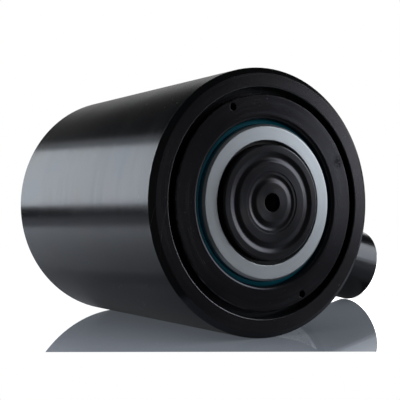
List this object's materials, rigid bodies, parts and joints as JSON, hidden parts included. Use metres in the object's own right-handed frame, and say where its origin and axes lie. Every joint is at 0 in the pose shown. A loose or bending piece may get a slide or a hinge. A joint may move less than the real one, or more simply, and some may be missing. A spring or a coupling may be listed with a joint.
{
  "type": "telescopic hydraulic cylinder",
  "caption": "Short black steel jack cylinder whose nested sleeve and plunger rise to lift a load, with a grooved saddle, a gland nut and a capped side hose coupler.",
  "frame": {"origin": "centre of the base's underside, where the cylinder stands", "axes": "+Z along the cylinder's axis in the lifting direction, +X out of the side coupler"},
  "size_m": [0.183, 0.1, 0.1223],
  "materials": {
    "blackened_steel": "blackened, fine turned, satin",
    "blackened_nut": "blackened, fine turned, matt",
    "teal_wiper": "smooth polyurethane",
    "guide_strip": "bronze-filled guide strip",
    "bright_steel": "satin, hard plated",
    "plunger_steel": "ground and hard plated",
    "saddle_steel": "blackened, fine turned",
    "seal_rubber": "smooth",
    "backup_plastic": "natural white",
    "spring_steel": "drawn and turned",
    "washer_copper": "annealed copper",
    "coupler_steel": "zinc plated, turned",
    "cap_plastic": "satin moulded"
  },
  "bodies": {
    "cylinder": {"cylinder_body": "blackened_steel", "gland_nut": "blackened_nut", "gland_wiper": "teal_wiper", "gland_guide_ring": "guide_strip", "port_washer": "washer_copper", "coupler_adapter": "coupler_steel", "coupler_barrel": "coupler_steel", "barrel_o_ring": "seal_rubber", "mouth_o_ring": "seal_rubber", "poppet_guide": "spring_steel", "poppet_spring": "spring_steel"},
    "stage_one": {"stage_one_sleeve": "bright_steel", "stage_one_seal": "seal_rubber", "stage_one_backup_ring": "backup_plastic", "stage_one_guide_ring": "guide_strip", "sleeve_retaining_ring": "spring_steel", "lip_guide_ring": "guide_strip", "lip_wiper": "seal_rubber"},
    "stage_two": {"stage_two_plunger": "plunger_steel", "stage_two_seal": "seal_rubber", "stage_two_backup_ring": "backup_plastic", "stage_two_guide_ring": "guide_strip", "saddle": "saddle_steel", "saddle_retainer": "seal_rubber"},
    "check_valve": {"coupler_poppet": "spring_steel"},
    "cap": {"dust_cap": "cap_plastic", "cap_gasket": "seal_rubber"}
  },
  "joints": [
    {"name": "stage_one_slide", "type": "slide", "parent": "cylinder", "child": "stage_one", "axis": [0, 0, 1], "range_m": [0, 0.045]},
    {"name": "stage_two_slide", "type": "slide", "parent": "stage_one", "child": "stage_two", "axis": [0, 0, 1], "range_m": [0, 0.054]},
    {"name": "poppet_slide", "type": "slide", "parent": "cylinder", "child": "check_valve", "axis": [-1, 0, 0], "range_m": [0, 0.004], "stiffness_N_per_m": 2500, "springref_m": -0.002, "deforming": ["poppet_spring"]},
    {"name": "dust_cap_pull", "type": "slide", "parent": "cylinder", "child": "cap", "axis": [1, 0, 0], "range_m": [0, 0.045]}
  ]
}
